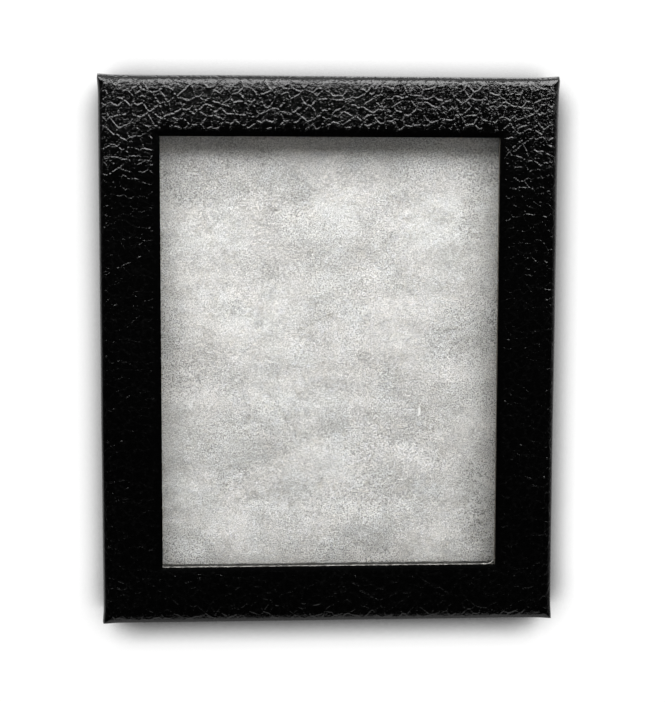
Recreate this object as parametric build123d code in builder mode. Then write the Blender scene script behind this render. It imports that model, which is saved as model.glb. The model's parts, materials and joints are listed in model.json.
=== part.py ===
"""Glass-topped cardboard display case, lying on its back.

Millimetres.  X runs across the case, Y along it and Z up out of the glass.  The origin is
on the resting face, under the middle of the case.

The case is two folded chipboard trays, one telescoping over the other.  The lid tray has a
die-cut window with a pane taped in behind it, and the base tray holds a pad of fibre.  Both
trays are stayed at their corners with gummed tape and covered in leatherette paper that is
turned in round the rims.  Four short steel pins hold the lid on.
"""
import os

from build123d import *

# Outside of the closed case
case_width = 127.0
case_length = 152.4
case_depth = 19.05

# Sheet stock
board = 1.5
paper = 0.25
stay_tape = 0.12
seal_tape = 0.15
glass_thickness = 2.0

# Folding and covering
fold_radius = 2.0
corner_slit = 0.3
stay_leg = 8.0
turn_in_below_pins = 2.35
turn_in_tape_gap = 0.3
turn_under = 12.0

# Lid
window_width = 94.3
window_length = 120.65
window_roll_width = 1.4
window_roll_depth = 0.4
lid_rim = 1.0
glass_play = 0.5
glass_seam = 0.3
tape_leg = 5.0
tape_gap = 0.5

# Base
lid_play = 0.4
foot_margin = 0.75

# Fibre pad
pad_play = 0.4
pad_glass_gap = 0.4
pad_crown = 0.7
pad_edge_radius = 3.0

# Closing pins: each backs out by pin_draw for every millimetre that the lid rises
pin_radius = 0.45
pin_tip_radius = 0.05
pin_head_radius = 1.5
pin_head_thickness = 0.45
pin_head_edge = 0.15
pin_past_wall = 0.2
pin_height = 7.5
pin_spacing = 76.2
pin_draw = 3.0
lid_hole_play = 0.05
base_hole_play = 0.05

# Lid levels and half sizes, from the outside in
lid_board_x = case_width / 2 - paper
lid_board_y = case_length / 2 - paper
lid_bare_x = lid_board_x - board
lid_bare_y = lid_board_y - board
lid_lined_x = lid_bare_x - paper
lid_lined_y = lid_bare_y - paper
lid_board_rim = lid_rim + paper
lid_board_top = case_depth - paper
face_under = lid_board_top - board
lid_fold = lid_board_top - fold_radius
glass_bottom = face_under - glass_thickness
lid_turn_in = glass_bottom - tape_leg - turn_in_tape_gap - lid_rim

# Base levels and half sizes, from the outside in
base_x = lid_lined_x - lid_play
base_y = lid_lined_y - lid_play
base_board_x = base_x - paper
base_board_y = base_y - paper
base_bare_x = base_board_x - board
base_bare_y = base_board_y - board
base_lined_x = base_bare_x - paper
base_lined_y = base_bare_y - paper
base_cover_bottom = paper
base_board_bottom = base_cover_bottom + paper
base_floor = base_board_bottom + board
base_fold = base_board_bottom + fold_radius
base_rim = glass_bottom - seal_tape
base_board_rim = base_rim - paper
base_turn_in = base_rim - pin_height + turn_in_below_pins

# Pins: the shank fills the lid's wall and the point reaches through the base's
lid_wall = paper + board + paper
base_wall = paper + board + paper
pin_reach = base_wall + pin_past_wall
pin_length = lid_wall + lid_play + pin_reach
lid_hole_radius = pin_radius + lid_hole_play
base_hole_radius = pin_reach / pin_draw + pin_tip_radius + base_hole_play
pin_spots = [(-pin_spacing / 2, pin_height), (pin_spacing / 2, pin_height)]

corners = {
    "upper_left": (-1, 1),
    "upper_right": (1, 1),
    "lower_left": (-1, -1),
    "lower_right": (1, -1),
}


def outer(side):
    """Alignment that puts a shape inwards of a wall on that side."""
    return Align.MAX if side > 0 else Align.MIN


def pressed_recess(level):
    """What the die presses down round the window, in a face at that level."""
    with BuildPart() as recess:
        with BuildSketch(Plane.XY.offset(level - window_roll_depth)):
            Rectangle(window_width, window_length)
        with BuildSketch(Plane.XY.offset(level)):
            Rectangle(window_width + 2 * window_roll_width, window_length + 2 * window_roll_width)
        loft()
    return recess.part


def save(node, name):
    node.part.label = name
    export_step(node.part, "parts/" + name + ".step")


os.makedirs("parts", exist_ok=True)

board_recess = pressed_recess(lid_board_top)
covering_recess = pressed_recess(case_depth)

# Outside forms of the two folded trays, which board and covering share
with BuildPart() as lid_form:
    with BuildSketch(Plane.XY.offset(lid_board_rim)):
        Rectangle(2 * lid_board_x, 2 * lid_board_y)
    extrude(amount=lid_board_top - lid_board_rim)
    fillet(lid_form.faces().sort_by(Axis.Z)[-1].edges(), fold_radius)
    add(board_recess, mode=Mode.SUBTRACT)

with BuildPart() as base_form:
    with BuildSketch(Plane.XY.offset(base_board_bottom)):
        Rectangle(2 * base_board_x, 2 * base_board_y)
    extrude(amount=base_board_rim - base_board_bottom)
    fillet(base_form.faces().sort_by(Axis.Z)[0].edges(), fold_radius)

# Lid board: one scored blank, its side walls butted at the corners, its window die-cut
with BuildPart() as lid_board:
    add(lid_form.part)
    with BuildSketch(Plane.XY.offset(lid_board_rim)):
        Rectangle(2 * lid_bare_x, 2 * lid_bare_y)
    extrude(amount=face_under - lid_board_rim, mode=Mode.SUBTRACT)
    with BuildSketch(Plane.XY.offset(face_under)):
        Rectangle(window_width, window_length)
    extrude(amount=board, mode=Mode.SUBTRACT)
    with BuildSketch(Plane.XY.offset(lid_board_rim)):
        with GridLocations(2 * lid_bare_x - corner_slit, 2 * lid_bare_y + board, 2, 2):
            Rectangle(corner_slit, board)
    extrude(amount=lid_fold - lid_board_rim, mode=Mode.SUBTRACT)
    with BuildSketch(Plane.YZ):
        with Locations(*pin_spots):
            Circle(lid_hole_radius)
    extrude(amount=lid_board_x, both=True, mode=Mode.SUBTRACT)
save(lid_board, "lid_board")

# Gummed tape stays bent round the outside corners of both trays
lid_stays = []
base_stays = []
for corner, (side_x, side_y) in corners.items():
    inwards = (outer(side_x), outer(side_y))

    with BuildPart() as lid_stay:
        with BuildSketch(Plane.XY.offset(lid_board_rim)):
            with Locations((side_x * (lid_board_x + stay_tape), side_y * (lid_board_y + stay_tape))):
                Rectangle(stay_leg + stay_tape, stay_leg + stay_tape, align=inwards)
            with Locations((side_x * lid_board_x, side_y * lid_board_y)):
                Rectangle(stay_leg, stay_leg, align=inwards, mode=Mode.SUBTRACT)
        extrude(amount=lid_fold - lid_board_rim)
    lid_stays.append(lid_stay.part)
    save(lid_stay, "lid_stay_" + corner)

    with BuildPart() as base_stay:
        with BuildSketch(Plane.XY.offset(base_fold)):
            with Locations((side_x * (base_board_x + stay_tape), side_y * (base_board_y + stay_tape))):
                Rectangle(stay_leg + stay_tape, stay_leg + stay_tape, align=inwards)
            with Locations((side_x * base_board_x, side_y * base_board_y)):
                Rectangle(stay_leg, stay_leg, align=inwards, mode=Mode.SUBTRACT)
        extrude(amount=base_board_rim - base_fold)
    base_stays.append(base_stay.part)
    save(base_stay, "base_stay_" + corner)

# Lid covering: over the face and walls, round the rim and a short way up inside
with BuildPart() as lid_wrap:
    with BuildSketch(Plane.XY.offset(lid_rim)):
        Rectangle(case_width, case_length)
    extrude(amount=case_depth - lid_rim)
    fillet(lid_wrap.faces().sort_by(Axis.Z)[-1].edges(), fold_radius + paper)
    add(covering_recess, mode=Mode.SUBTRACT)
    add(lid_form.part, mode=Mode.SUBTRACT)
    with BuildSketch(Plane.XY.offset(lid_rim)):
        Rectangle(2 * lid_bare_x, 2 * lid_bare_y)
    extrude(amount=paper, mode=Mode.SUBTRACT)
    with BuildSketch(Plane.XY.offset(lid_board_top - window_roll_depth)):
        Rectangle(window_width, window_length)
    extrude(amount=paper, mode=Mode.SUBTRACT)
    with BuildSketch(Plane.XY.offset(lid_rim)):
        Rectangle(2 * lid_bare_x, 2 * lid_bare_y)
        Rectangle(2 * lid_lined_x, 2 * lid_lined_y, mode=Mode.SUBTRACT)
    extrude(amount=lid_turn_in)
    for stay in lid_stays:
        add(stay, mode=Mode.SUBTRACT)
    with BuildSketch(Plane.YZ):
        with Locations(*pin_spots):
            Circle(lid_hole_radius)
    extrude(amount=case_width / 2, both=True, mode=Mode.SUBTRACT)
save(lid_wrap, "lid_wrap")

# Pane, seamed all round, against the underside of the lid's face
with BuildPart() as glass_pane:
    with BuildSketch(Plane.XY.offset(glass_bottom)):
        Rectangle(2 * (lid_bare_x - glass_play), 2 * (lid_bare_y - glass_play))
    extrude(amount=glass_thickness)
    chamfer(glass_pane.edges().filter_by(Axis.Z, reverse=True), glass_seam)
save(glass_pane, "glass_pane")

# Gummed strips folded into an L between the pane's edge and the lid's walls
long_strip = lid_bare_y
short_strip = lid_bare_x - tape_leg - tape_gap
strips = {
    "left": (Plane.XZ, -1, lid_bare_x, long_strip),
    "right": (Plane.XZ, 1, lid_bare_x, long_strip),
    "lower": (Plane.YZ, -1, lid_bare_y, short_strip),
    "upper": (Plane.YZ, 1, lid_bare_y, short_strip),
}
for name, (section, side, wall, reach) in strips.items():
    with BuildPart() as glass_tape:
        with BuildSketch(section):
            with Locations((side * wall, glass_bottom)):
                Rectangle(tape_leg, seal_tape, align=(outer(side), Align.MAX))
                Rectangle(seal_tape, tape_leg, align=(outer(side), Align.MAX))
        extrude(amount=reach, both=True)
    save(glass_tape, "glass_tape_" + name)

# Base board: a second scored blank, folded up from its floor
with BuildPart() as base_board:
    add(base_form.part)
    with BuildSketch(Plane.XY.offset(base_floor)):
        Rectangle(2 * base_bare_x, 2 * base_bare_y)
    extrude(amount=base_board_rim - base_floor, mode=Mode.SUBTRACT)
    with BuildSketch(Plane.XY.offset(base_fold)):
        with GridLocations(2 * base_bare_x - corner_slit, 2 * base_bare_y + board, 2, 2):
            Rectangle(corner_slit, board)
    extrude(amount=base_board_rim - base_fold, mode=Mode.SUBTRACT)
    with BuildSketch(Plane.YZ):
        with Locations(*pin_spots):
            Circle(base_hole_radius)
    extrude(amount=base_board_x, both=True, mode=Mode.SUBTRACT)
save(base_board, "base_board")

# Base covering: turned under the floor, up the walls, over the rim and down inside
with BuildPart() as base_wrap:
    with BuildSketch(Plane.XY.offset(base_cover_bottom)):
        Rectangle(2 * base_x, 2 * base_y)
    extrude(amount=base_rim - base_cover_bottom)
    fillet(base_wrap.faces().sort_by(Axis.Z)[0].edges(), fold_radius + paper)
    add(base_form.part, mode=Mode.SUBTRACT)
    with BuildSketch(Plane.XY.offset(base_board_rim)):
        Rectangle(2 * base_bare_x, 2 * base_bare_y)
    extrude(amount=paper, mode=Mode.SUBTRACT)
    with BuildSketch(Plane.XY.offset(base_cover_bottom)):
        Rectangle(2 * (base_x - turn_under), 2 * (base_y - turn_under))
    extrude(amount=paper, mode=Mode.SUBTRACT)
    with BuildSketch(Plane.XY.offset(base_rim)):
        Rectangle(2 * base_bare_x, 2 * base_bare_y)
        Rectangle(2 * base_lined_x, 2 * base_lined_y, mode=Mode.SUBTRACT)
    extrude(amount=-base_turn_in)
    for stay in base_stays:
        add(stay, mode=Mode.SUBTRACT)
    with BuildSketch(Plane.YZ):
        with Locations(*pin_spots):
            Circle(base_hole_radius)
    extrude(amount=base_x, both=True, mode=Mode.SUBTRACT)
save(base_wrap, "base_wrap")

# Foot sheet that covers the turned-under edges, and that the case rests on
foot_x = base_x - fold_radius - paper - foot_margin
foot_y = base_y - fold_radius - paper - foot_margin
with BuildPart() as base_foot_sheet:
    with BuildSketch():
        Rectangle(2 * foot_x, 2 * foot_y)
    extrude(amount=base_cover_bottom)
save(base_foot_sheet, "base_foot_sheet")

# Fibre pad: a low pillow whose crown stops just short of the glass
pad_x = base_lined_x - pad_play
pad_y = base_lined_y - pad_play
pad_top = glass_bottom - pad_glass_gap
pad_shoulder = pad_top - pad_crown
with BuildPart() as fiber_pad:
    with BuildSketch(Plane.XZ):
        with BuildLine():
            Polyline((-pad_x, pad_shoulder), (-pad_x, base_floor), (pad_x, base_floor), (pad_x, pad_shoulder))
            ThreePointArc((pad_x, pad_shoulder), (0, pad_top), (-pad_x, pad_shoulder))
        make_face()
    extrude(amount=pad_y, both=True)
    with BuildSketch(Plane.YZ):
        with BuildLine():
            Polyline((-pad_y, pad_shoulder), (-pad_y, base_floor), (pad_y, base_floor), (pad_y, pad_shoulder))
            ThreePointArc((pad_y, pad_shoulder), (0, pad_top), (-pad_y, pad_shoulder))
        make_face()
    extrude(amount=pad_x, both=True, mode=Mode.INTERSECT)
    fillet(fiber_pad.edges().filter_by(Axis.Z), pad_edge_radius)
save(fiber_pad, "fiber_pad")

# Closing pins: flat head, a shank as long as the lid's wall, then a long point
for side_name, side_x in (("left", -1), ("right", 1)):
    for end_name, side_y in (("upper", 1), ("lower", -1)):
        entry = Plane(
            origin=(side_x * case_width / 2, side_y * pin_spacing / 2, pin_height),
            x_dir=(-side_x, 0, 0),
            z_dir=(0, 0, 1),
        )
        with BuildPart() as pin:
            with BuildSketch(entry):
                with BuildLine():
                    Polyline(
                        (pin_length, 0),
                        (-pin_head_thickness, 0),
                        (-pin_head_thickness, pin_head_radius),
                        (0, pin_head_radius),
                        (0, pin_radius),
                        (lid_wall, pin_radius),
                        (pin_length, pin_tip_radius),
                        close=True,
                    )
                make_face()
            revolve(axis=Axis(entry.origin, entry.x_dir))
            head_rim = pin.edges().filter_by(GeomType.CIRCLE).filter_by(
                lambda edge: edge.radius > pin_radius + pin_head_edge
            )
            fillet(head_rim.sort_by(Axis.X)[-1 if side_x > 0 else 0], pin_head_edge)
        save(pin, "pin_" + side_name + "_" + end_name)
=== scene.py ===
"""Looks of the glass-topped display case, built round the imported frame."""
import json
import math

import bmesh
import bpy
import numpy as np
from mathutils import Euler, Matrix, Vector
from mathutils.bvhtree import BVHTree


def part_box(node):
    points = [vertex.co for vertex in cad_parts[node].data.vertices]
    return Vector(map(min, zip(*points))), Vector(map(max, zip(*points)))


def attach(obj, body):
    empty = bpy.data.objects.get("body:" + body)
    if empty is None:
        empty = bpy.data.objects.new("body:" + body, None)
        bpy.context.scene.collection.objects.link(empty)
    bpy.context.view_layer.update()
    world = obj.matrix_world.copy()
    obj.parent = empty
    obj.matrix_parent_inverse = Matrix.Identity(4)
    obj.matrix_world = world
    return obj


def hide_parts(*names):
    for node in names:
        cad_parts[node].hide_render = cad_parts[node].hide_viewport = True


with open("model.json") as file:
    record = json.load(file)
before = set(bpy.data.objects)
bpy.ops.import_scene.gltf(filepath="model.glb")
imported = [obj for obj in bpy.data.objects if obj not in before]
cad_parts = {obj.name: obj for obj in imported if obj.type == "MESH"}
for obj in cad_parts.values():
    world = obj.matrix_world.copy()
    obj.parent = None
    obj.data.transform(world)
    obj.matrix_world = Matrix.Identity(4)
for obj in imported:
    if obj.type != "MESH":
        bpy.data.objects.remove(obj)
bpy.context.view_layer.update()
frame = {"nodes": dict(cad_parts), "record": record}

MM = 0.001

# Sizes that the frame gives
wrap_low, wrap_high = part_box("lid_wrap")
board_low, board_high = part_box("lid_board")
glass_low, glass_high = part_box("glass_pane")
pad_low, pad_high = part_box("fiber_pad")
floor_low, floor_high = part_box("base_board")

# Sheet thicknesses, then the lid's other sizes as the CAD part has them (WINDOW holds half sizes)
PAPER = wrap_high.z - board_high.z
BOARD = board_high.z - glass_high.z
FOLD = 2.25 * MM
WINDOW = Vector((47.15, 60.325)) * MM
ROLL_WIDTH = 1.4 * MM
ROLL_DEPTH = 0.4 * MM
TURN_IN = 9.0 * MM

# How far the paper leans in over the window at its left and upper edges, and draws back at its right
LIP_LEFT = 0.25 * MM
LIP_UPPER = 0.25 * MM
LIP_RIGHT = 0.06 * MM

# Spacing of the leather's large wrinkles, in mm
WRINKLE = 2.8


# ---------------------------------------------------------------- camera and light

def place_camera():
    """Nearly overhead, above a point between the window's middle and its upper edge, a little left."""
    image_width = 665
    focal_px = 1540.7
    spot_mm = (-24.40, 40.33, 446.47)
    turn_degrees = (-5.281, -3.349, 0.141)
    data = bpy.data.cameras.new("camera")
    data.sensor_fit = "HORIZONTAL"
    data.sensor_width = 36
    data.lens = focal_px * data.sensor_width / image_width
    data.clip_start = 0.01
    camera = bpy.data.objects.new("camera", data)
    camera.location = Vector(spot_mm) * MM
    camera.rotation_euler = Euler([math.radians(a) for a in turn_degrees])
    bpy.context.collection.objects.link(camera)
    bpy.context.scene.camera = camera


def soft_box(name, spot, size, watts, aim=(0, 0, 0.01)):
    """A rectangular lamp at a place in metres, turned towards its aim."""
    data = bpy.data.lights.new(name, "AREA")
    data.shape = "RECTANGLE"
    data.size, data.size_y = size
    data.energy = watts
    lamp = bpy.data.objects.new(name, data)
    lamp.location = spot
    lamp.rotation_euler = (Vector(aim) - Vector(spot)).to_track_quat("-Z", "Y").to_euler()
    bpy.context.collection.objects.link(lamp)
    return lamp


def light_the_set():
    """Two keys behind the case and a small near one, with an overhead and a front fill."""
    aside, behind, up = 0.27, 0.54, 0.29
    key_size = (0.60, 0.44)
    near_x = -0.03
    keys = (soft_box("key_left", (-aside, behind, up), key_size, 7.6),
            soft_box("key_right", (aside, behind, up), key_size, 9.9),
            soft_box("key_near", (near_x, 0.135, 0.105), (0.10, 0.04), 0.036, aim=(near_x, 0.05, 0.01)))
    # In views from the front the pane would mirror the keys, so they are kept off it
    flag = bpy.data.collections.new("flagged")
    flag.objects.link(frame["nodes"]["glass_pane"])
    flag.collection_objects[0].light_linking.link_state = "EXCLUDE"
    for key in keys:
        key.light_linking.receiver_collection = flag
    overhead = soft_box("fill_overhead", (0.0, -0.10, 0.60), (0.5, 0.5), 0.45)
    overhead.visible_glossy = False
    soft_box("fill_front", (0.0, -0.62, 0.24), (1.30, 0.34), 1.3)


# ---------------------------------------------------------------- node helpers

class Nodes:
    """Short words for adding nodes to one tree."""

    def __init__(self, tree):
        self.tree = tree

    def add(self, kind, **settings):
        node = self.tree.nodes.new(kind)
        for key, value in settings.items():
            setattr(node, key, value)
        return node

    def link(self, source, target):
        self.tree.links.new(source, target)

    def value(self, socket, given):
        """Plug a socket in, or set it to a plain value."""
        if isinstance(given, bpy.types.NodeSocket):
            self.link(given, socket)
        else:
            socket.default_value = given

    def math(self, operation, a, b=0.0, c=0.0):
        node = self.add("ShaderNodeMath", operation=operation)
        for socket, given in zip(node.inputs, (a, b, c)):
            self.value(socket, given)
        return node.outputs[0]

    def span(self, given, low, high, to_low=0.0, to_high=1.0):
        node = self.add("ShaderNodeMapRange", interpolation_type="SMOOTHSTEP")
        self.value(node.inputs["Value"], given)
        for name, number in (("From Min", low), ("From Max", high), ("To Min", to_low), ("To Max", to_high)):
            self.value(node.inputs[name], number)
        return node.outputs[0]

    def mix(self, factor, a, b):
        node = self.add("ShaderNodeMix", data_type="RGBA")
        self.value(node.inputs[0], factor)
        for socket, given in ((node.inputs[6], a), (node.inputs[7], b)):
            self.value(socket, given)
        return node.outputs[2]

    def noise(self, vector, per_mm, detail=2.0, roughness=0.5):
        node = self.add("ShaderNodeTexNoise")
        self.link(vector, node.inputs["Vector"])
        node.inputs["Scale"].default_value = per_mm
        node.inputs["Detail"].default_value = detail
        node.inputs["Roughness"].default_value = roughness
        return node

    def cells(self, vector, per_mm, feature="DISTANCE_TO_EDGE"):
        node = self.add("ShaderNodeTexVoronoi", feature=feature)
        self.link(vector, node.inputs["Vector"])
        self.value(node.inputs["Scale"], per_mm)
        return node

    def millimetres(self):
        """Object coordinates, in millimetres."""
        place = self.add("ShaderNodeTexCoord")
        scale = self.add("ShaderNodeVectorMath", operation="SCALE")
        self.link(place.outputs["Object"], scale.inputs[0])
        scale.inputs["Scale"].default_value = 1000.0
        return scale.outputs[0]


def new_group(name, inputs, outputs):
    """A shader group with named sockets, as (its tree, helper, its input sockets, its output node)."""
    tree = bpy.data.node_groups.new(name, "ShaderNodeTree")
    for label, kind, default in inputs:
        socket = tree.interface.new_socket(label, in_out="INPUT", socket_type=kind)
        if default is not None:
            socket.default_value = default
    for label, kind in outputs:
        tree.interface.new_socket(label, in_out="OUTPUT", socket_type=kind)
    nodes = Nodes(tree)
    given = nodes.add("NodeGroupInput")
    made = nodes.add("NodeGroupOutput")
    return tree, nodes, given.outputs, made.inputs


def colour(r, g, b):
    return (r, g, b, 1.0)


# ---------------------------------------------------------------- shared effects

def leather_relief_group():
    """Pressed leather grain: a net of raised wrinkles with finer wrinkles and pores inside it."""
    tree, n, given, made = new_group(
        "leather_relief",
        [("Position", "NodeSocketVector", None), ("Wrinkle size", "NodeSocketFloat", WRINKLE)],
        [("Height", "NodeSocketFloat"), ("Crest", "NodeSocketFloat")],
    )
    drift_mm, wobble_mm = 3.0, 0.32
    beads_per_wrinkle, fine_per_wrinkle = 2.9, 5.5
    where = given["Position"]
    drift = n.noise(where, 0.12, detail=1.0)
    moved = n.add("ShaderNodeVectorMath", operation="MULTIPLY_ADD")
    n.link(drift.outputs["Color"], moved.inputs[0])
    moved.inputs[1].default_value = (drift_mm,) * 3
    n.link(where, moved.inputs[2])
    wobble = n.noise(moved.outputs[0], 0.9, detail=1.0)
    bent = n.add("ShaderNodeVectorMath", operation="MULTIPLY_ADD")
    n.link(wobble.outputs["Color"], bent.inputs[0])
    bent.inputs[1].default_value = (wobble_mm,) * 3
    n.link(moved.outputs[0], bent.inputs[2])
    large = n.cells(bent.outputs[0], n.math("DIVIDE", 1.0, given["Wrinkle size"]))
    beads_per_mm = n.math("DIVIDE", beads_per_wrinkle, given["Wrinkle size"])
    beads = n.cells(bent.outputs[0], beads_per_mm, feature="F1")
    fine = n.cells(where, n.math("DIVIDE", fine_per_wrinkle, given["Wrinkle size"]))
    large_crest = n.span(large.outputs["Distance"], 0.0, 0.14, 1.2, 0.0)
    breaks = n.span(n.noise(where, 0.6, detail=2.0).outputs["Fac"], 0.36, 0.52, 0.25, 1.0)
    large_fold = n.math("MULTIPLY", large_crest, breaks)
    round_off = n.math("MINIMUM", n.math("MULTIPLY", beads.outputs["Distance"], 1.5), 1.0)
    bead = n.math("SUBTRACT", 1.0, n.math("MULTIPLY", round_off, round_off))
    plump = n.span(n.noise(where, 0.4, detail=2.0).outputs["Fac"], 0.35, 0.6, 0.30, 0.70)
    fine_crest = n.span(fine.outputs["Distance"], 0.0, 0.30, 1.0, 0.0)
    total = n.math("MULTIPLY_ADD", bead, plump, large_fold)
    total = n.math("MULTIPLY_ADD", fine_crest, 0.25, total)
    n.link(total, made["Height"])
    n.link(large_fold, made["Crest"])
    return tree


def fleck_group():
    """Cloudy variation with sparse flecks and a fine grain, which most materials share."""
    tree, n, given, made = new_group(
        "flecks",
        [("Position", "NodeSocketVector", None), ("Clouds per mm", "NodeSocketFloat", 0.1),
         ("Flecks per mm", "NodeSocketFloat", 2.0)],
        [("Clouds", "NodeSocketFloat"), ("Flecks", "NodeSocketFloat"), ("Grain", "NodeSocketFloat")],
    )
    clouds = n.noise(given["Position"], 1.0, detail=4.0, roughness=0.55)
    n.link(given["Clouds per mm"], clouds.inputs["Scale"])
    flecks = n.noise(given["Position"], 1.0, detail=2.0, roughness=0.6)
    n.link(given["Flecks per mm"], flecks.inputs["Scale"])
    grain = n.noise(given["Position"], 1.0, detail=3.0, roughness=0.7)
    n.link(n.math("MULTIPLY", given["Flecks per mm"], 2.7), grain.inputs["Scale"])
    n.link(clouds.outputs["Fac"], made["Clouds"])
    n.link(n.span(flecks.outputs["Fac"], 0.56, 0.68), made["Flecks"])
    n.link(grain.outputs["Fac"], made["Grain"])
    return tree


LEATHER_RELIEF = leather_relief_group()
FLECKS = fleck_group()


# ---------------------------------------------------------------- materials

def new_material(name):
    """A material with a bare Principled shader, as (material, node helper, shader)."""
    material = bpy.data.materials.new(name)
    material.use_nodes = True
    material.node_tree.nodes.clear()
    n = Nodes(material.node_tree)
    shader = n.add("ShaderNodeBsdfPrincipled")
    out = n.add("ShaderNodeOutputMaterial")
    n.link(shader.outputs[0], out.inputs["Surface"])
    return material, n, shader


def place_group(n, tree, position, **values):
    node = n.add("ShaderNodeGroup", node_tree=tree)
    n.link(position, node.inputs["Position"])
    for name, given in values.items():
        n.value(node.inputs[name.replace("_", " ")], given)
    return node


def bump(n, shader, height, depth_mm):
    node = n.add("ShaderNodeBump")
    n.link(height, node.inputs["Height"])
    node.inputs["Distance"].default_value = depth_mm * MM
    node.inputs["Strength"].default_value = 1.0
    n.link(node.outputs[0], shader.inputs["Normal"])


def leatherette(name, masked):
    """Black pressed paper.  On the lid's covering an attribute says how much of the grain shows."""
    polished, added_roughness = 0.13, 0.70
    relief_mm = 0.135
    valley_ink, painted_crest_sheen = colour(0.0004, 0.0004, 0.0004), colour(0.0012, 0.0012, 0.0012)
    dust_grey = colour(0.05, 0.05, 0.05)
    material, n, shader = new_material(name)
    where = n.millimetres()
    relief = place_group(n, LEATHER_RELIEF, where, Wrinkle_size=WRINKLE)
    height = relief.outputs["Height"]
    crest = relief.outputs["Crest"]
    if masked:
        mask = n.add("ShaderNodeAttribute", attribute_name="grain").outputs["Fac"]
        height = n.math("MULTIPLY", height, mask)
        crest = n.math("MULTIPLY", crest, mask)
    dust_and_painted_shade = place_group(n, FLECKS, where, Clouds_per_mm=0.05, Flecks_per_mm=0.9)
    # The crests are coloured a little lighter than the valleys: a painted sheen
    ink = n.mix(crest, valley_ink, painted_crest_sheen)
    ink = n.mix(n.math("MULTIPLY", dust_and_painted_shade.outputs["Flecks"], 0.02), ink, dust_grey)
    n.link(ink, shader.inputs["Base Color"])
    rough = n.math("MULTIPLY_ADD", dust_and_painted_shade.outputs["Clouds"], 0.08, polished)
    rough = n.math("MULTIPLY_ADD", crest, -0.03, rough)
    # The level face gets rougher where it is seen at a low angle, or the rear keys turn it white
    facing = n.add("ShaderNodeLayerWeight").outputs["Facing"]
    split = n.add("ShaderNodeSeparateXYZ")
    n.link(n.add("ShaderNodeTexCoord").outputs["Normal"], split.inputs[0])
    level = n.span(split.outputs["Z"], 0.85, 0.97)
    dull = n.math("MULTIPLY", n.span(facing, 0.30, 0.55), level)
    rough = n.math("MULTIPLY_ADD", dull, added_roughness, rough)
    n.link(rough, shader.inputs["Roughness"])
    shader.inputs["IOR"].default_value = 1.4
    bump(n, shader, height, relief_mm)
    return material


def window_glass():
    """Clear float glass that lets lamp light straight through to what lies under it."""
    material, n, shader = new_material("window_glass")
    where = n.millimetres()
    smears = place_group(n, FLECKS, where, Clouds_per_mm=0.03, Flecks_per_mm=0.4)
    shader.inputs["Base Color"].default_value = colour(0.99, 0.99, 0.985)
    shader.inputs["Transmission Weight"].default_value = 1.0
    shader.inputs["IOR"].default_value = 1.5
    n.link(n.math("MULTIPLY", smears.outputs["Clouds"], 0.02), shader.inputs["Roughness"])
    clear = n.add("ShaderNodeBsdfTransparent")
    clear.inputs["Color"].default_value = colour(0.95, 0.95, 0.945)
    path = n.add("ShaderNodeLightPath")
    passing = n.math("MAXIMUM", path.outputs["Is Shadow Ray"], path.outputs["Is Diffuse Ray"])
    mixed = n.add("ShaderNodeMixShader")
    n.link(passing, mixed.inputs[0])
    n.link(shader.outputs[0], mixed.inputs[1])
    n.link(clear.outputs[0], mixed.inputs[2])
    out = next(node for node in n.tree.nodes if node.type == "OUTPUT_MATERIAL")
    n.link(mixed.outputs[0], out.inputs["Surface"])
    return material


def fibre_streaks(n, where, turn, along, across):
    """Wispy lines of fibre lying one way, bent by a slow drift."""
    drift = n.noise(where, 0.16, detail=2.0)
    bent = n.add("ShaderNodeVectorMath", operation="MULTIPLY_ADD")
    n.link(drift.outputs["Color"], bent.inputs[0])
    bent.inputs[1].default_value = (1.6, 1.6, 0.0)
    n.link(where, bent.inputs[2])
    lay = n.add("ShaderNodeMapping", vector_type="TEXTURE")
    n.link(bent.outputs[0], lay.inputs["Vector"])
    lay.inputs["Rotation"].default_value = (0.0, 0.0, math.radians(turn))
    lay.inputs["Scale"].default_value = (1.0 / along, 1.0 / across, 1.0)
    return n.noise(lay.outputs[0], 1.0, detail=1.0).outputs["Fac"]


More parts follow.
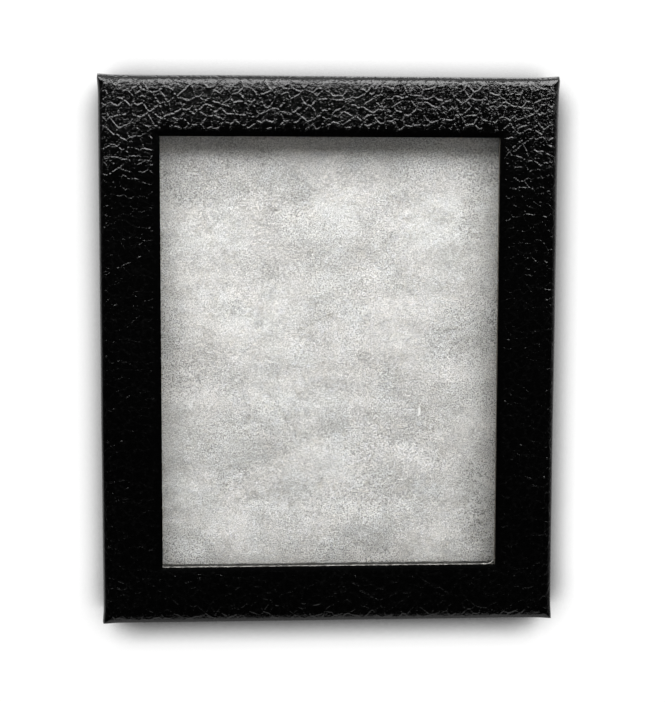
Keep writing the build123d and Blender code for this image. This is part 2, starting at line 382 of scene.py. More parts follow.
def batting_fibre():
    """Off-white polyester fibre: fine crossing strands, thin and thick places, and a grey rim of painted
    shade.
    """
    material, n, shader = new_material("fiber_fill")
    where = n.millimetres()
    loft = place_group(n, FLECKS, where, Clouds_per_mm=0.09, Flecks_per_mm=1.5)
    # Three lays of strands, each its turn in degrees and the noise's scale per mm along and across
    lays = ((6, 1.1, 5.0), (-40, 1.8, 5.6), (52, 1.8, 5.6))
    strands = [fibre_streaks(n, where, *lay) for lay in lays]
    weave = n.math("MAXIMUM", n.math("MAXIMUM", strands[0], strands[1]), strands[2])
    weave = n.span(weave, 0.47, 0.69)
    layers = fibre_streaks(n, where, 3, 0.05, 0.13)
    cloudy = n.math("MULTIPLY_ADD", loft.outputs["Clouds"], 0.3, n.math("MULTIPLY", layers, 0.7))
    thin = n.span(cloudy, 0.37, 0.61)
    airy, dense = colour(0.855, 0.85, 0.83), colour(0.97, 0.965, 0.945)
    shade = n.mix(thin, airy, dense)
    tint = n.span(n.noise(where, 0.11, detail=1.0).outputs["Fac"], 0.35, 0.65)
    shade = n.mix(0.28, shade, n.mix(tint, colour(0.93, 0.88, 0.875), colour(0.86, 0.89, 0.91)))
    open_work = n.math("MULTIPLY_ADD", thin, -0.35, 1.0)
    between = n.math("MULTIPLY", n.math("SUBTRACT", 1.0, weave), open_work)
    shade = n.mix(between, shade, colour(0.46, 0.455, 0.445))
    # The rim's painted shade goes on before the pits, so that they stay dark there; the pits are painted
    # darker there too
    pits = n.span(n.noise(where, 2.7, detail=2.0).outputs["Fac"], 0.32, 0.56, 1.0, 0.0)
    sparse = n.span(n.noise(where, 0.055, detail=1.0).outputs["Fac"], 0.40, 0.60, 0.55, 1.0)
    rim = n.add("ShaderNodeAttribute", attribute_name="rim").outputs["Fac"]
    # Grey of the painted shade towards the window's edges
    dust_and_painted_shade = colour(0.40, 0.395, 0.37)
    unshaded_pit, shaded_rim_pit = colour(0.30, 0.295, 0.285), colour(0.13, 0.128, 0.122)
    shade = n.mix(n.math("MULTIPLY", rim, 0.42), shade, dust_and_painted_shade)
    pit = n.mix(rim, unshaded_pit, shaded_rim_pit)
    shade = n.mix(n.math("MULTIPLY", pits, sparse), shade, pit)
    split = n.add("ShaderNodeSeparateXYZ")
    n.link(where, split.inputs[0])
    # A painted shadow line on the pad along the window's lower edge, with a ragged border
    ragged = n.noise(where, 0.35, detail=2.0).outputs["Fac"]
    edge = n.math("MULTIPLY_ADD", ragged, 0.5, split.outputs["Y"])
    crease = n.span(edge, 0.03 - WINDOW.y / MM, 0.45 - WINDOW.y / MM, 0.97, 0.0)
    shade = n.mix(crease, shade, colour(0.035, 0.034, 0.031))
    n.link(shade, shader.inputs["Base Color"])
    shader.inputs["Roughness"].default_value = 0.85
    shader.inputs["Specular IOR Level"].default_value = 0.2
    shader.inputs["Sheen Weight"].default_value = 0.2
    shader.inputs["Subsurface Weight"].default_value = 0.75
    shader.inputs["Subsurface Radius"].default_value = (1.0, 0.95, 0.85)
    shader.inputs["Subsurface Scale"].default_value = 14 * MM
    bump(n, shader, n.math("MULTIPLY_ADD", loft.outputs["Grain"], 0.6, weave), 0.16)
    return material


def loose_fibre():
    """Clean white fibre with its own faint crimp."""
    material, n, shader = new_material("loose_fibre")
    where = n.millimetres()
    crimp = n.noise(where, 1.8, detail=1.0).outputs["Fac"]
    n.link(n.mix(crimp, colour(0.88, 0.88, 0.87), colour(0.97, 0.97, 0.965)), shader.inputs["Base Color"])
    shader.inputs["Roughness"].default_value = 0.8
    shader.inputs["Specular IOR Level"].default_value = 0.2
    bump(n, shader, crimp, 0.03)
    return material


def torn_board():
    """Loose grey pulp where the knife has pulled the board's edge."""
    material, n, shader = new_material("torn_board")
    where = n.millimetres()
    pulp = place_group(n, FLECKS, where, Clouds_per_mm=0.6, Flecks_per_mm=2.0)
    dark, pale = colour(0.045, 0.044, 0.040), colour(0.22, 0.215, 0.20)
    shade = n.mix(n.span(pulp.outputs["Clouds"], 0.35, 0.65), dark, pale)
    n.link(shade, shader.inputs["Base Color"])
    shader.inputs["Roughness"].default_value = 0.9
    bump(n, shader, pulp.outputs["Grain"], 0.05)
    return material


def chipboard():
    """Grey-brown board, darkened where the window is cut, as painted shade on the left, right and upper cut
    walls, and torn along the lower cut.
    """
    material, n, shader = new_material("chipboard")
    where = n.millimetres()
    pulp = place_group(n, FLECKS, where, Clouds_per_mm=0.12, Flecks_per_mm=1.6)
    dark, pale = colour(0.30, 0.27, 0.225), colour(0.42, 0.385, 0.33)
    shade = n.mix(n.span(pulp.outputs["Clouds"], 0.3, 0.7), dark, pale)
    shade = n.mix(n.math("MULTIPLY", pulp.outputs["Flecks"], 0.5), shade, colour(0.58, 0.55, 0.49))
    split = n.add("ShaderNodeSeparateXYZ")
    n.link(where, split.inputs[0])
    # The dark is inside the window's outline, with a margin that takes in the cut edge; on the left, right
    # and upper walls it is painted shade
    margin = 0.6
    across = n.math("SUBTRACT", n.math("ABSOLUTE", split.outputs["X"]), WINDOW.x / MM + margin)
    along = n.math("SUBTRACT", n.math("ABSOLUTE", split.outputs["Y"]), WINDOW.y / MM + margin)
    inside_window_cut = n.math("LESS_THAN", n.math("MAXIMUM", across, along), 0.0)
    lower = n.math("LESS_THAN", split.outputs["Y"], 1.0 - WINDOW.y / MM)
    torn = n.span(n.noise(where, 0.8, detail=2.0).outputs["Fac"], 0.40, 0.60)
    torn = n.mix(torn, colour(0.006, 0.0055, 0.005), colour(0.060, 0.058, 0.050))
    # Painted shade colour on the left, right and upper cut walls, and the torn colour on the lower one
    painted_shade_and_torn_cut = n.mix(lower, colour(0.030, 0.024, 0.017), torn)
    shade = n.mix(n.math("MULTIPLY", inside_window_cut, 0.9), shade, painted_shade_and_torn_cut)
    n.link(shade, shader.inputs["Base Color"])
    n.link(n.math("MULTIPLY_ADD", pulp.outputs["Grain"], 0.12, 0.82), shader.inputs["Roughness"])
    bump(n, shader, pulp.outputs["Grain"], 0.18)
    return material


def gummed_tape():
    """Brown kraft tape with a slight gloss and darker flecks."""
    material, n, shader = new_material("gummed_tape")
    where = n.millimetres()
    kraft = place_group(n, FLECKS, where, Clouds_per_mm=0.2, Flecks_per_mm=2.4)
    shade = n.mix(kraft.outputs["Clouds"], colour(0.36, 0.25, 0.15), colour(0.50, 0.38, 0.24))
    shade = n.mix(n.math("MULTIPLY", kraft.outputs["Flecks"], 0.35), shade, colour(0.24, 0.16, 0.09))
    n.link(shade, shader.inputs["Base Color"])
    n.link(n.math("MULTIPLY_ADD", kraft.outputs["Clouds"], 0.25, 0.42), shader.inputs["Roughness"])
    bump(n, shader, kraft.outputs["Grain"], 0.05)
    return material


def foot_paper():
    """Plain black paper, rubbed greyer in soft patches."""
    material, n, shader = new_material("foot_paper")
    where = n.millimetres()
    felt = place_group(n, FLECKS, where, Clouds_per_mm=0.04, Flecks_per_mm=1.8)
    dark, rubbed = colour(0.013, 0.013, 0.014), colour(0.028, 0.028, 0.029)
    shade = n.mix(n.span(felt.outputs["Clouds"], 0.35, 0.7), dark, rubbed)
    shade = n.mix(n.math("MULTIPLY", felt.outputs["Flecks"], 0.2), shade, colour(0.07, 0.07, 0.068))
    n.link(shade, shader.inputs["Base Color"])
    n.link(n.math("MULTIPLY_ADD", felt.outputs["Clouds"], 0.2, 0.62), shader.inputs["Roughness"])
    bump(n, shader, felt.outputs["Grain"], 0.06)
    return material


def pin_steel():
    """Bright drawn wire, slightly clouded and finely grained."""
    material, n, shader = new_material("pin_steel")
    where = n.millimetres()
    marks = place_group(n, FLECKS, where, Clouds_per_mm=1.2, Flecks_per_mm=5.0)
    shade = n.mix(marks.outputs["Clouds"], colour(0.50, 0.49, 0.47), colour(0.68, 0.67, 0.65))
    n.link(shade, shader.inputs["Base Color"])
    shader.inputs["Metallic"].default_value = 1.0
    n.link(n.math("MULTIPLY_ADD", marks.outputs["Grain"], 0.22, 0.2), shader.inputs["Roughness"])
    bump(n, shader, marks.outputs["Grain"], 0.01)
    return material


# ---------------------------------------------------------------- vertex work

def value_noise(points, wavelength, seed):
    """Smooth random heights in -1..1 over points (N, 2 or 3), with features of that wavelength."""
    cell = points / wavelength
    low = np.floor(cell.min(0)).astype(int) - 1
    size = np.floor(cell.max(0)).astype(int) - low + 3
    lattice = np.random.default_rng(seed).uniform(-1.0, 1.0, size)
    corner = np.floor(cell).astype(int)
    part = cell - corner
    part = part * part * (3.0 - 2.0 * part)
    corner -= low
    total = np.zeros(len(points))
    dimensions = points.shape[1]
    for step in np.ndindex(*(2,) * dimensions):
        weight = np.ones(len(points))
        for axis, high in enumerate(step):
            weight *= part[:, axis] if high else 1.0 - part[:, axis]
        total += weight * lattice[tuple((corner + np.array(step)).T)]
    return total


def pebbles(points, cell_size, seed):
    """Distance from the edge of the nearest random cell, in cells, over points (N, 2)."""
    grid = points / cell_size
    low = np.floor(grid.min(0)).astype(int) - 2
    size = np.floor(grid.max(0)).astype(int) - low + 4
    jitter = np.random.default_rng(seed).uniform(0.05, 0.95, (*size, 2))
    home = np.floor(grid).astype(int)
    nearest = np.full(len(points), 9.0)
    second = np.full(len(points), 9.0)
    for step_x in (-1, 0, 1):
        for step_y in (-1, 0, 1):
            cell = home + (step_x, step_y)
            index = cell - low
            seed_point = cell + jitter[index[:, 0], index[:, 1]]
            gap = np.linalg.norm(seed_point - grid, axis=1)
            second = np.minimum(second, np.maximum(nearest, gap))
            nearest = np.minimum(nearest, gap)
    return second - nearest


def ramp(values, low, high):
    """Smooth 0..1 step of an array between two levels."""
    t = np.clip((values - low) / (high - low), 0.0, 1.0)
    return t * t * (3.0 - 2.0 * t)


def positions(bm):
    return np.array([v.co for v in bm.verts])


def finish_mesh(bm, name, material, body, nodes=(), crease=math.radians(50)):
    """Turn a bmesh into a piece of the object."""
    mesh = bpy.data.meshes.new(name)
    bm.to_mesh(mesh)
    bm.free()
    mesh.materials.append(material)
    mesh.shade_smooth()
    mesh.set_sharp_from_angle(angle=crease)
    piece = bpy.data.objects.new(name, mesh)
    bpy.context.collection.objects.link(piece)
    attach(piece, body)
    if nodes:
        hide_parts(*nodes)
    return piece


def strand_mesh(name, strands, depth):
    """A mesh of thin round strands, each a list of (x, y, z, thickness)."""
    curve = bpy.data.curves.new(name, "CURVE")
    curve.dimensions = "3D"
    curve.bevel_depth = depth
    curve.bevel_resolution = 0
    for points in strands:
        spline = curve.splines.new("POLY")
        spline.points.add(len(points) - 1)
        for point, (x, y, z, thickness) in zip(spline.points, points):
            point.co = (x, y, z, 1.0)
            point.radius = thickness
    holder = bpy.data.objects.new(name, curve)
    bpy.context.collection.objects.link(holder)
    mesh = bpy.data.meshes.new_from_object(holder)
    bpy.data.objects.remove(holder)
    return mesh


# ---------------------------------------------------------------- lid covering

def cut(bm, axis, at):
    """Cut the whole mesh across an axis, at a place along it."""
    normal = [0, 0, 0]
    normal[axis] = 1
    spot = [0, 0, 0]
    spot[axis] = at
    everything = bm.verts[:] + bm.edges[:] + bm.faces[:]
    bmesh.ops.bisect_plane(bm, geom=everything, dist=1e-7, plane_co=spot, plane_no=normal)


def divide(bm, axis, stations, steps):
    """Divide the edges that run along an axis, from one station to the next, into so many steps."""
    stations = np.array(stations)

    def nearest(value):
        return int(np.abs(stations - value).argmin())

    for first, count in enumerate(steps):
        chosen = []
        for edge in bm.edges:
            a, b = (v.co for v in edge.verts)
            ends = sorted((nearest(a[axis]), nearest(b[axis])))
            if ends == [first, first + 1]:
                chosen.append(edge)
        bmesh.ops.subdivide_edges(bm, edges=chosen, cuts=count - 1)


def boundary(bm, test):
    """Open edges whose ends both pass a test of their place."""
    return [e for e in bm.edges if e.is_boundary and all(test(v.co) for v in e.verts)]


def carry(bm, edges, scale=(1, 1), rise=0.0, level=None):
    """Extrude a loop of edges, then scale it about the case's axis and raise or level it."""
    made = bmesh.ops.extrude_edge_only(bm, edges=edges)["geom"]
    for vert in (g for g in made if isinstance(g, bmesh.types.BMVert)):
        vert.co.x *= scale[0]
        vert.co.y *= scale[1]
        vert.co.z = vert.co.z + rise if level is None else level
    return [g for g in made if isinstance(g, bmesh.types.BMEdge)]


# Places on the covering's box
HALF = Vector((wrap_high.x, wrap_high.y))
TOP = wrap_high.z
RIM = wrap_low.z
FOLD_LINE = HALF - Vector((FOLD, FOLD))
ROLL_LINE = WINDOW + Vector((ROLL_WIDTH, ROLL_WIDTH))


def covering_box():
    """The covering's outside: a bevelled box, open below and at the window, and finely divided."""
    bm = bmesh.new()
    bmesh.ops.create_cube(bm, size=1.0)
    bmesh.ops.scale(bm, vec=wrap_high - wrap_low, verts=bm.verts)
    bmesh.ops.translate(bm, vec=(wrap_high + wrap_low) / 2, verts=bm.verts)
    under = [f for f in bm.faces if f.normal.z < -0.5]
    bmesh.ops.delete(bm, geom=under, context="FACES_ONLY")
    rounded = [e for e in bm.edges if all(v.co.z > TOP - 1e-6 for v in e.verts)]
    bmesh.ops.bevel(bm, geom=rounded, offset=FOLD, segments=10, profile=0.5, affect="EDGES", material=-1)

    for axis in (0, 1):
        for at in (-ROLL_LINE[axis], -WINDOW[axis], WINDOW[axis], ROLL_LINE[axis]):
            cut(bm, axis, at)
    gap = [f for f in bm.faces if f.normal.z > 0.9 and abs(f.calc_center_median().x) < WINDOW.x
           and abs(f.calc_center_median().y) < WINDOW.y]
    bmesh.ops.delete(bm, geom=gap, context="FACES")

    grid = 0.5 * MM
    roll_steps = 5
    for axis in (0, 1):
        stations = [-FOLD_LINE[axis], -ROLL_LINE[axis], -WINDOW[axis],
                    WINDOW[axis], ROLL_LINE[axis], FOLD_LINE[axis]]
        steps = [max(1, round((b - a) / grid)) for a, b in zip(stations, stations[1:])]
        steps[1] = steps[3] = roll_steps
        divide(bm, axis, stations, steps)
    divide(bm, 2, [RIM, TOP - FOLD, TOP], [round((TOP - FOLD - RIM) / grid), 1])
    return bm


class Sheet:
    """The covering's vertices, and where each one lay on the plain box.

    x, y and z are views of place, so they move with it.  The distances keep their first values.
    """

    def __init__(self, bm):
        bm.normal_update()
        self.place = positions(bm)
        self.normal = np.array([v.normal for v in bm.verts])
        self.x, self.y, self.z = x, y, z = self.place.T
        self.drop = TOP - z
        self.on_x_side = HALF.x - np.abs(x) < HALF.y - np.abs(y)
        self.on_top = ramp(z, TOP - 1.2 * MM, TOP - 0.5 * MM)
        self.above_rim = z - RIM
        self.from_window = np.maximum(np.abs(x) - WINDOW.x, np.abs(y) - WINDOW.y)
        self.from_side = np.minimum(HALF.x - np.abs(x), HALF.y - np.abs(y))
        self.from_corner = np.hypot(HALF.x - np.abs(x), HALF.y - np.abs(y))
        flat_x = x + np.where(self.on_x_side, np.sign(x) * self.drop, 0.0)
        flat_y = y + np.where(self.on_x_side, 0.0, np.sign(y) * self.drop)
        self.flat = np.column_stack((flat_x, flat_y))


def raise_grain(sheet):
    """Lift each vertex along its normal by grain and handling; returns where grain shows, 0..1."""
    flat, from_window = sheet.flat, sheet.from_window
    pebble_rise, fine_rise, handling_rise = 0.016 * MM, 0.010 * MM, 0.035 * MM
    swirl = np.column_stack((value_noise(flat, 5 * MM, 11), value_noise(flat, 5 * MM, 12))) * 1.1 * MM
    pebble = np.clip(pebbles(flat + swirl, 3.0 * MM, 13) * 2.2, 0.0, 1.0)
    pebble_fine = np.clip(pebbles(flat + swirl, 1.6 * MM, 14) * 2.0, 0.0, 1.0)

    # Pulled smooth over the fold, the rolled edge and the corners, and weaker below the upper rail
    from_fold = np.where(sheet.drop < FOLD, sheet.from_side - 0.9 * MM, sheet.drop - FOLD)
    grain = ramp(from_fold, -0.6 * MM, 0.8 * MM) * ramp(from_window, 1.1 * MM, 1.7 * MM)
    grain *= 0.4 + 0.6 * ramp(sheet.from_corner, 1.0 * MM, 4.0 * MM)
    grain *= np.where(sheet.on_top > 0.5, 0.5 + 0.5 * ramp(sheet.y, 40 * MM, 68 * MM), 1.0)

    height = (pebble_rise * (1.0 - pebble) + fine_rise * (1.0 - pebble_fine)) * grain
    height += handling_rise * value_noise(flat, 9 * MM, 15) * ramp(from_window, 0.5 * MM, 3 * MM)
    height *= ramp(sheet.above_rim, 0.0, 1.2 * MM)
    sheet.place += sheet.normal * height[:, None]
    return grain


def roll_the_window(sheet):
    """Sink the face round the window, as the die does, and shift the paper's edge there."""
    on_top = sheet.on_top > 0.5
    roll = 1.0 - np.clip(sheet.from_window / ROLL_WIDTH, 0.0, 1.0)
    sheet.place[:, 2] -= np.where(on_top, ROLL_DEPTH * roll ** 1.6, 0.0)
    beside = (np.abs(sheet.x) - WINDOW.x > np.abs(sheet.y) - WINDOW.y) & on_top
    sheet.place[:, 0] += np.where(beside, np.where(sheet.x < 0, LIP_LEFT, LIP_RIGHT) * roll, 0.0)
    sheet.place[:, 1] -= np.where(~beside & on_top & (sheet.y > 0), LIP_UPPER * roll, 0.0)


def shape_the_fold(sheet):
    """Give the outer fold its profile: broad at the left, tight at the right, sharp on two sides."""
    # Heights over the face in mm, at distances in mm in from the side.  The first eleven distances are
    # those of the bevel's rows of vertices
    out = [0, 0.03, 0.11, 0.245, 0.43, 0.66, 0.93, 1.23, 1.55, 1.9, 2.25, 2.75, 3.25, 4, 5, 6.5, 8]
    broad = [-2.25, -1.55, -1.18, -0.97, -0.79, -0.61, -0.42, -0.26, -0.135, -0.035,
             0.04, 0.12, 0.165, 0.20, 0.22, 0.23, 0.23]
    tight = [-2.25, -1.55, -1.17, -0.95, -0.76, -0.57, -0.38, -0.23, -0.125, -0.04,
             0.02, 0.08, 0.12, 0.15, 0.17, 0.18, 0.18]
    sharp = [-2.25, -1.30, -0.98, -0.79, -0.63, -0.49, -0.37, -0.26, -0.17, -0.08,
             0, 0.07, 0.115, 0.15, 0.18, 0.2, 0.2]
    flat, drop, from_window = sheet.flat, sheet.drop, sheet.from_window
    softness = ramp(value_noise(flat, 45 * MM, 17) * 22 * MM - flat[:, 0], -30 * MM, 20 * MM)
    side = sheet.from_side / MM
    crown = (np.interp(side, out, broad) * softness + np.interp(side, out, tight) * (1.0 - softness)) * MM

    # Sharp all along the left side, and mostly so along the lower one
    sharp_left = ramp(-sheet.x, HALF.x - 9 * MM, HALF.x - 5 * MM)
    sharp_lower = 0.8 * ramp(-sheet.y, HALF.y - 9 * MM, HALF.y - 5 * MM)
    sharpness = np.where(sheet.on_x_side, sharp_left, sharp_lower)
    crown = crown * (1.0 - sharpness) + np.interp(side, out, sharp) * MM * sharpness
    crown = np.where(from_window < 4 * MM, crown * ramp(from_window, 0.0, 4 * MM), crown)
    level = sheet.place[:, 2]
    sheet.place[:, 2] = np.where(drop < FOLD, level + drop + crown, level)


def belly_the_walls(sheet):
    """Let the walls wave and swell, and the corners stand out as dog-ears."""
    ear_reach, ear_height = 2.6 * MM, 0.28 * MM
    belly_side, belly_upper = 0.2 * MM, 0.6 * MM
    wave_height = 0.08 * MM
    x, y, drop, on_x_side = sheet.x, sheet.y, sheet.drop, sheet.on_x_side
    wave = wave_height * value_noise(sheet.flat, 24 * MM, 16) * ramp(drop, 0.3 * MM, 1.5 * MM)
    outward = np.exp(-(sheet.from_corner / ear_reach) ** 2) * ear_height
    belly = ramp(sheet.z, RIM + 2 * MM, TOP - 1 * MM) * ramp(drop, -1 * MM, 0.2 * MM)
    on_wall = sheet.from_side < 0.05 * MM
    swell = np.where(x < 0, -belly_side, belly_side * ramp(y, -60 * MM, 80 * MM))
    sheet.place[:, 0] += np.where(on_x_side, swell * belly * on_wall, 0.0)
    sheet.place[:, 1] += np.where(~on_x_side & (y > 0), belly * belly_upper * on_wall, 0.0)
    sheet.place[:, 0] += np.sign(x) * (outward + np.where(on_x_side, wave, 0.0))
    sheet.place[:, 1] += np.sign(y) * (outward + np.where(on_x_side, 0.0, wave))


def line_the_sheet(bm):
    """Close the sheet: cut edge at the window, hidden underside, and the turn-in round the rim."""
    window_loop = boundary(bm, lambda co: co.z > TOP - 2 * MM)
    rim_loop = boundary(bm, lambda co: co.z < RIM + 1e-5)
    inside = HALF - Vector((PAPER, PAPER))
    shoulder = inside - Vector((4 * MM, 4 * MM))
    loop = carry(bm, window_loop, rise=-PAPER)
    loop = carry(bm, loop, scale=(shoulder.x / WINDOW.x, shoulder.y / WINDOW.y), level=TOP - 1.5 * PAPER)
    loop = carry(bm, loop, scale=(inside.x / shoulder.x, inside.y / shoulder.y), level=TOP - FOLD - 0.2 * MM)
    loop_inner = carry(bm, loop, level=RIM + PAPER)
    lined = HALF - Vector((2 * PAPER + BOARD,) * 2)
    bare = HALF - Vector((PAPER + BOARD,) * 2)
    loop = carry(bm, rim_loop, scale=(lined.x / HALF.x, lined.y / HALF.y), level=RIM)
    loop = carry(bm, loop, level=RIM + TURN_IN)
    loop = carry(bm, loop, scale=(bare.x / lined.x, bare.y / lined.y))
    loop = carry(bm, loop, level=RIM + PAPER)
    loop = carry(bm, loop, scale=(inside.x / bare.x, inside.y / bare.y))
    bmesh.ops.bridge_loops(bm, edges=loop + loop_inner)
    bmesh.ops.recalc_face_normals(bm, faces=bm.faces)


def lid_covering():
    """The leatherette paper, with a vertex attribute that says where its grain shows."""
    wall_grain = 0.15
    bm = covering_box()
    sheet = Sheet(bm)
    grain = raise_grain(sheet)
    roll_the_window(sheet)
    shape_the_fold(sheet)
    belly_the_walls(sheet)
    for vert, spot in zip(bm.verts, sheet.place):
        vert.co = spot
    grain = np.clip(grain + (1.0 - sheet.on_top) * wall_grain, 0.0, 1.0)
    line_the_sheet(bm)

    layer = bm.verts.layers.float.new("grain")
    bm.verts.ensure_lookup_table()
    for index, amount in enumerate(grain):
        bm.verts[index][layer] = amount
    return finish_mesh(bm, "lid_covering", LEATHER_LID, "lid", ["lid_wrap"])


def torn_lip():
    """Ragged fibres of board along the window's lower cut, lifting at its two corners."""
    # Places in mm along the cut, from the window's middle
    half_length, pitch = 46.8, 0.45
    lifts_from, thin_at = 44.6, -27.5
    strand_radius = 0.11 * MM
    random = np.random.default_rng(41)
    strands = []
    for down, inward in ((0.30, 0.08), (0.52, 0.05), (0.75, 0.03)):
        points = []
        for x in np.arange(-half_length, half_length + 0.1, pitch):
            y = inward - WINDOW.y / MM + random.normal(0, 0.04)
            y += 0.8 * max(0.0, (x - lifts_from) / 2.0) ** 2
            thick = np.clip(random.normal(0.95, 0.35), 0.15, 1.5) * (0.2 if abs(x - thin_at) < 0.5 else 1.0)
            points.append((x * MM, y * MM, board_high.z - (down + random.normal(0, 0.03)) * MM, thick))
        strands.append(points)
    for reach, lean in ((1.3, 0.25), (0.9, 0.5), (0.6, 0.1)):
        strands.append([((0.35 - lean * t) * MM - WINDOW.x, (0.1 + reach * t) * MM - WINDOW.y,
                         board_high.z - 0.3 * MM, 1.6 - t) for t in np.linspace(0, 1, 5)])
    bm = bmesh.new()
    bm.from_mesh(strand_mesh("torn_lip", strands, strand_radius))
    return finish_mesh(bm, "torn_lip", TORN, "lid")


# ---------------------------------------------------------------- fibre pad

def swollen_pad():
    """The pad as a soft body: a remeshed slab, puffed up a little by cloth pressure."""
    shrink = 1.0 * MM
    headroom = 1.2 * MM
    edge_radius = 3 * MM
    most = 1.15 * MM
    bm = bmesh.new()
    bmesh.ops.create_cube(bm, size=1.0)
    swell = 1.0 * MM
    low = pad_low + Vector((shrink, shrink, 0))
    high = pad_high - Vector((shrink, shrink, headroom + swell))
    bmesh.ops.scale(bm, vec=high - low, verts=bm.verts)
    bmesh.ops.translate(bm, vec=(high + low) / 2, verts=bm.verts)
    bmesh.ops.bevel(bm, geom=bm.edges[:], offset=edge_radius, segments=3, profile=0.5,
                    affect="EDGES", material=-1)
    mesh = bpy.data.meshes.new("fibre_pad")
    bm.to_mesh(mesh)
    bm.free()
    pad = bpy.data.objects.new("fibre_pad", mesh)
    bpy.context.collection.objects.link(pad)
    bpy.context.view_layer.objects.active = pad
    remesh = pad.modifiers.new("remesh", "REMESH")
    remesh.mode = "VOXEL"
    remesh.voxel_size = 3.2 * MM
    bpy.ops.object.modifier_apply(modifier=remesh.name)

    start = np.array([v.co for v in pad.data.vertices])
    cloth = pad.modifiers.new("cloth", "CLOTH")
    cloth.settings.quality = 4
    cloth.settings.mass = 0.05
    cloth.settings.use_pressure = True
    cloth.settings.uniform_pressure_force = 4.0
    cloth.settings.effector_weights.gravity = 0.0
    last_frame = 15
    for step in range(1, last_frame + 1):
        bpy.context.scene.frame_set(step)
    bpy.ops.object.modifier_apply(modifier=cloth.name)
    bpy.context.scene.frame_set(1)
    moved = np.array([v.co for v in pad.data.vertices]) - start
    length = np.linalg.norm(moved, axis=1, keepdims=True)
    moved *= np.minimum(1.0, most / np.maximum(length, 1e-9))
    for vert, spot in zip(pad.data.vertices, start + moved):
        vert.co = spot

    smooth = pad.modifiers.new("smooth", "SUBSURF")
    smooth.levels = smooth.render_levels = 3
    bpy.ops.object.modifier_apply(modifier=smooth.name)
    return pad


def loft_the_pad(pad):
    """Clouds and dimples over the pad's upper side, kept inside the room it has."""
    mesh = pad.data
    place = np.empty(len(mesh.vertices) * 3)
    mesh.vertices.foreach_get("co", place)
    place = place.reshape(-1, 3)
    upper = ramp(place[:, 2], pad_low.z + 7 * MM, pad_high.z - 2 * MM)
    plan = place[:, :2]
    # Each layer of noise as its height and wavelength in mm, and its squeeze sideways
    layers = ((0.14, 13, 0.6), (0.13, 6, 0.6), (0.10, 2.6, 1.0), (0.06, 1.2, 1.0))
    height = np.zeros(len(plan))
    for seed, (rise, wavelength, squeeze) in enumerate(layers, start=21):
        height += rise * MM * value_noise(plan * (squeeze, 1.0), wavelength * MM, seed)
    place[:, 2] += (height - 0.15 * MM) * upper
    room_low = pad_low.copy()
    room_high = Vector((pad_high.x, pad_high.y, glass_low.z - 0.1 * MM))
    place = np.clip(place, room_low, room_high)
    mesh.vertices.foreach_set("co", place.ravel())
    mesh.update()


def surface_of(pad):
    """A function that gives the pad's height at a point, or None off its edge."""
    tree = BVHTree.FromPolygons([v.co for v in pad.data.vertices], [p.vertices for p in pad.data.polygons])

    def height(x, y, lift=0.0):
        hit = tree.ray_cast(Vector((x, y, 30 * MM)), Vector((0, 0, -1)))[0]
        return None if hit is None else min(hit.z + lift, glass_low.z - 0.04 * MM)

    return height


def stray_fibres(height):
    """Thin curling fibres lying on the pad where the window shows it."""
    fibre_radius = 0.028 * MM
    random = np.random.default_rng(31)
    strands = []
    reach = WINDOW + Vector((3 * MM, 3 * MM))
    for _ in range(3000):
        spot = random.uniform(-1, 1, 2) * np.array(reach)
        heading = random.uniform(0, 2 * math.pi)
        bend = random.normal(0, 0.45)
        step = random.uniform(0.7, 1.5) * MM
        points = []
        for _ in range(8):
            level = height(*spot, random.uniform(0.0, 0.07) * MM)
            if level is None:
                break
            points.append((*spot, level, 1.0))
            heading += bend + random.normal(0, 0.25)
            spot = spot + step * np.array((math.cos(heading), math.sin(heading)))
        if len(points) >= 4:
            strands.append(points)
    return strand_mesh("fibres", strands, fibre_radius)


def lint_curl(height):
    """One loose white curl of fibre right of the middle."""
    middle_x, middle_y = 25.6, -16.9
    strand_radius = 0.10 * MM
    random = np.random.default_rng(37)
    strands = []
    for _ in range(8):
        aside, start, end = random.normal(0, 0.12), random.normal(1.2, 0.2), random.normal(-1.3, 0.15)
        points = []
        for along in np.linspace(start, end, 7):
            x = (middle_x + aside + 0.2 - 0.2 * (along - 0.1) ** 2) * MM
            y = (middle_y + along) * MM
            level = min(height(x, y) + 0.06 * MM, glass_low.z - 0.12 * MM)
            points.append((x, y, level, 1.0 - 0.5 * (along / 1.6) ** 2))
        strands.append(points)
    bm = bmesh.new()
    bm.from_mesh(strand_mesh("lint", strands, strand_radius))
    return finish_mesh(bm, "loose_curl", LINT, "base")


def fibre_pad():
    """The batting in the base, with a vertex attribute for painted shade towards the window's edges."""
    pad = swollen_pad()
    loft_the_pad(pad)
    height = surface_of(pad)
    bm = bmesh.new()
    bm.from_mesh(pad.data)
    bm.from_mesh(stray_fibres(height))
    bpy.data.objects.remove(pad)
    place = positions(bm)
    # Painted shade towards the window's edges: heavier on the right and lower right, lighter under the upper
    # edge
    into_view = np.minimum(WINDOW.x - np.abs(place[:, 0]), WINDOW.y - np.abs(place[:, 1]))
    painted_shade = 1.0 - ramp(into_view, -1 * MM, 9 * MM)
    aside = 1.0 - ramp(WINDOW.x - np.abs(place[:, 0]), -4 * MM, 19 * MM)
    painted_shade_left = 0.78
    painted_shade_right = 1.12 + 0.55 * ramp(-place[:, 1], 10 * MM, 50 * MM)
    painted_shade = np.maximum(painted_shade, aside * np.where(place[:, 0] > 0, painted_shade_right, painted_shade_left))
    painted_shade *= 1.0 - 0.6 * ramp(place[:, 1], WINDOW.y - 14 * MM, WINDOW.y - 6 * MM)
    layer = bm.verts.layers.float.new("rim")
    for vert, amount in zip(bm.verts, painted_shade):
        vert[layer] = amount
    piece = finish_mesh(bm, "batting", BATTING, "base", ["fiber_pad"], crease=math.radians(80))
    lint_curl(height)
    return piece


# ---------------------------------------------------------------- set

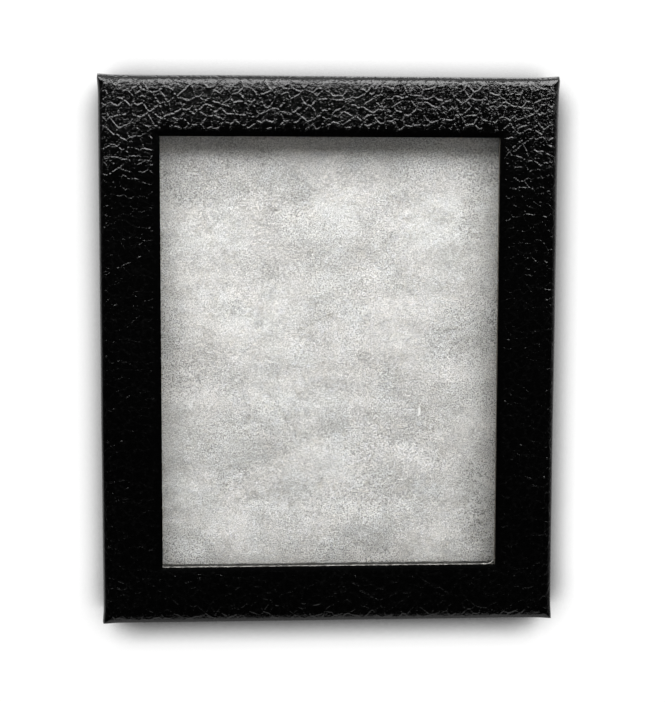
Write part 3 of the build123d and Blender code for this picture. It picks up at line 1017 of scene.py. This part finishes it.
def lay_floor():
    """White floor that the camera sees glowing, but for the shade round the case."""
    # How far the shade reaches, in metres, and what is added before the case and in reflections
    reach_all_round, more_before, more_mirrored = 0.013, 0.0015, 0.10
    bm = bmesh.new()
    bmesh.ops.create_grid(bm, x_segments=1, y_segments=1, size=3.0)
    bmesh.ops.translate(bm, vec=(0, 0, -0.02 * MM), verts=bm.verts)
    mesh = bpy.data.meshes.new("floor")
    bm.to_mesh(mesh)
    bm.free()
    material, n, shader = new_material("floor")
    shader.inputs["Roughness"].default_value = 0.9
    shader.inputs["Specular IOR Level"].default_value = 0.0
    shade = n.add("ShaderNodeAmbientOcclusion", samples=16)
    lean = n.add("ShaderNodeCombineXYZ")
    spot = n.add("ShaderNodeSeparateXYZ")
    n.link(n.millimetres(), spot.inputs[0])
    before = n.span(spot.outputs["Y"], -85.0, -60.0, 1.0, 0.0)
    n.link(n.span(spot.outputs["Y"], 60.0, 85.0, 0.37, 0.26), lean.inputs[1])
    lean.inputs[0].default_value = -0.16
    lean.inputs[2].default_value = 0.90
    n.link(lean.outputs[0], shade.inputs["Normal"])
    path = n.add("ShaderNodeLightPath")
    seen = n.math("MAXIMUM", path.outputs["Is Camera Ray"],
                  n.math("MAXIMUM", path.outputs["Is Glossy Ray"], path.outputs["Is Transmission Ray"]))
    reach = n.math("MULTIPLY_ADD", before, more_before, reach_all_round)
    reach = n.math("MULTIPLY_ADD", path.outputs["Is Glossy Ray"], more_mirrored, reach)
    n.link(reach, shade.inputs["Distance"])
    glow = n.math("POWER", n.span(shade.outputs["AO"], 0.4, 0.985, 0.0, 1.0), 1.45)
    n.link(n.mix(seen, colour(0.75, 0.75, 0.74), colour(0.05, 0.05, 0.05)), shader.inputs["Base Color"])
    shader.inputs["Emission Color"].default_value = colour(1, 1, 1)
    n.link(n.math("MULTIPLY", glow, seen), shader.inputs["Emission Strength"])
    mesh.materials.append(material)
    floor = bpy.data.objects.new("floor", mesh)
    bpy.context.collection.objects.link(floor)


def set_world():
    """White all round for the camera; to the object, bright low down and dark overhead."""
    world = bpy.data.worlds.new("world")
    world.use_nodes = True
    world.node_tree.nodes.clear()
    n = Nodes(world.node_tree)
    place = n.add("ShaderNodeTexCoord")
    split = n.add("ShaderNodeSeparateXYZ")
    n.link(place.outputs["Generated"], split.inputs[0])
    low_down = n.span(split.outputs["Z"], 0.15, 0.60, 0.22, 0.002)
    path = n.add("ShaderNodeLightPath")
    level = n.math("MAXIMUM", path.outputs["Is Camera Ray"], low_down)
    back = n.add("ShaderNodeBackground")
    back.inputs["Color"].default_value = colour(1, 1, 1)
    n.link(level, back.inputs["Strength"])
    out = n.add("ShaderNodeOutputWorld")
    n.link(back.outputs[0], out.inputs["Surface"])
    bpy.context.scene.world = world


# ---------------------------------------------------------------- making

LEATHER_LID = leatherette("leatherette_lid", masked=True)
LEATHER = leatherette("leatherette", masked=False)
GLASS = window_glass()
BATTING = batting_fibre()
LINT = loose_fibre()
CHIPBOARD = chipboard()
TORN = torn_board()
TAPE = gummed_tape()
FOOT = foot_paper()
STEEL = pin_steel()

BY_SLOT = {
    "chipboard": CHIPBOARD,
    "leatherette_paper": LEATHER,
    "foot_paper": FOOT,
    "gummed_tape": TAPE,
    "window_glass": GLASS,
    "fiber_fill": BATTING,
    "pin_steel": STEEL,
}


def dress_nodes():
    """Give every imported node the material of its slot."""
    for part in frame["record"]["subparts"]:
        node = frame["nodes"][part["node"]]
        node.data.materials.clear()
        node.data.materials.append(BY_SLOT[part["material_slot"]])


place_camera()
light_the_set()
set_world()
lay_floor()
dress_nodes()
lid_covering()
torn_lip()
fibre_pad()

bpy.context.scene.view_settings.view_transform = "Standard"
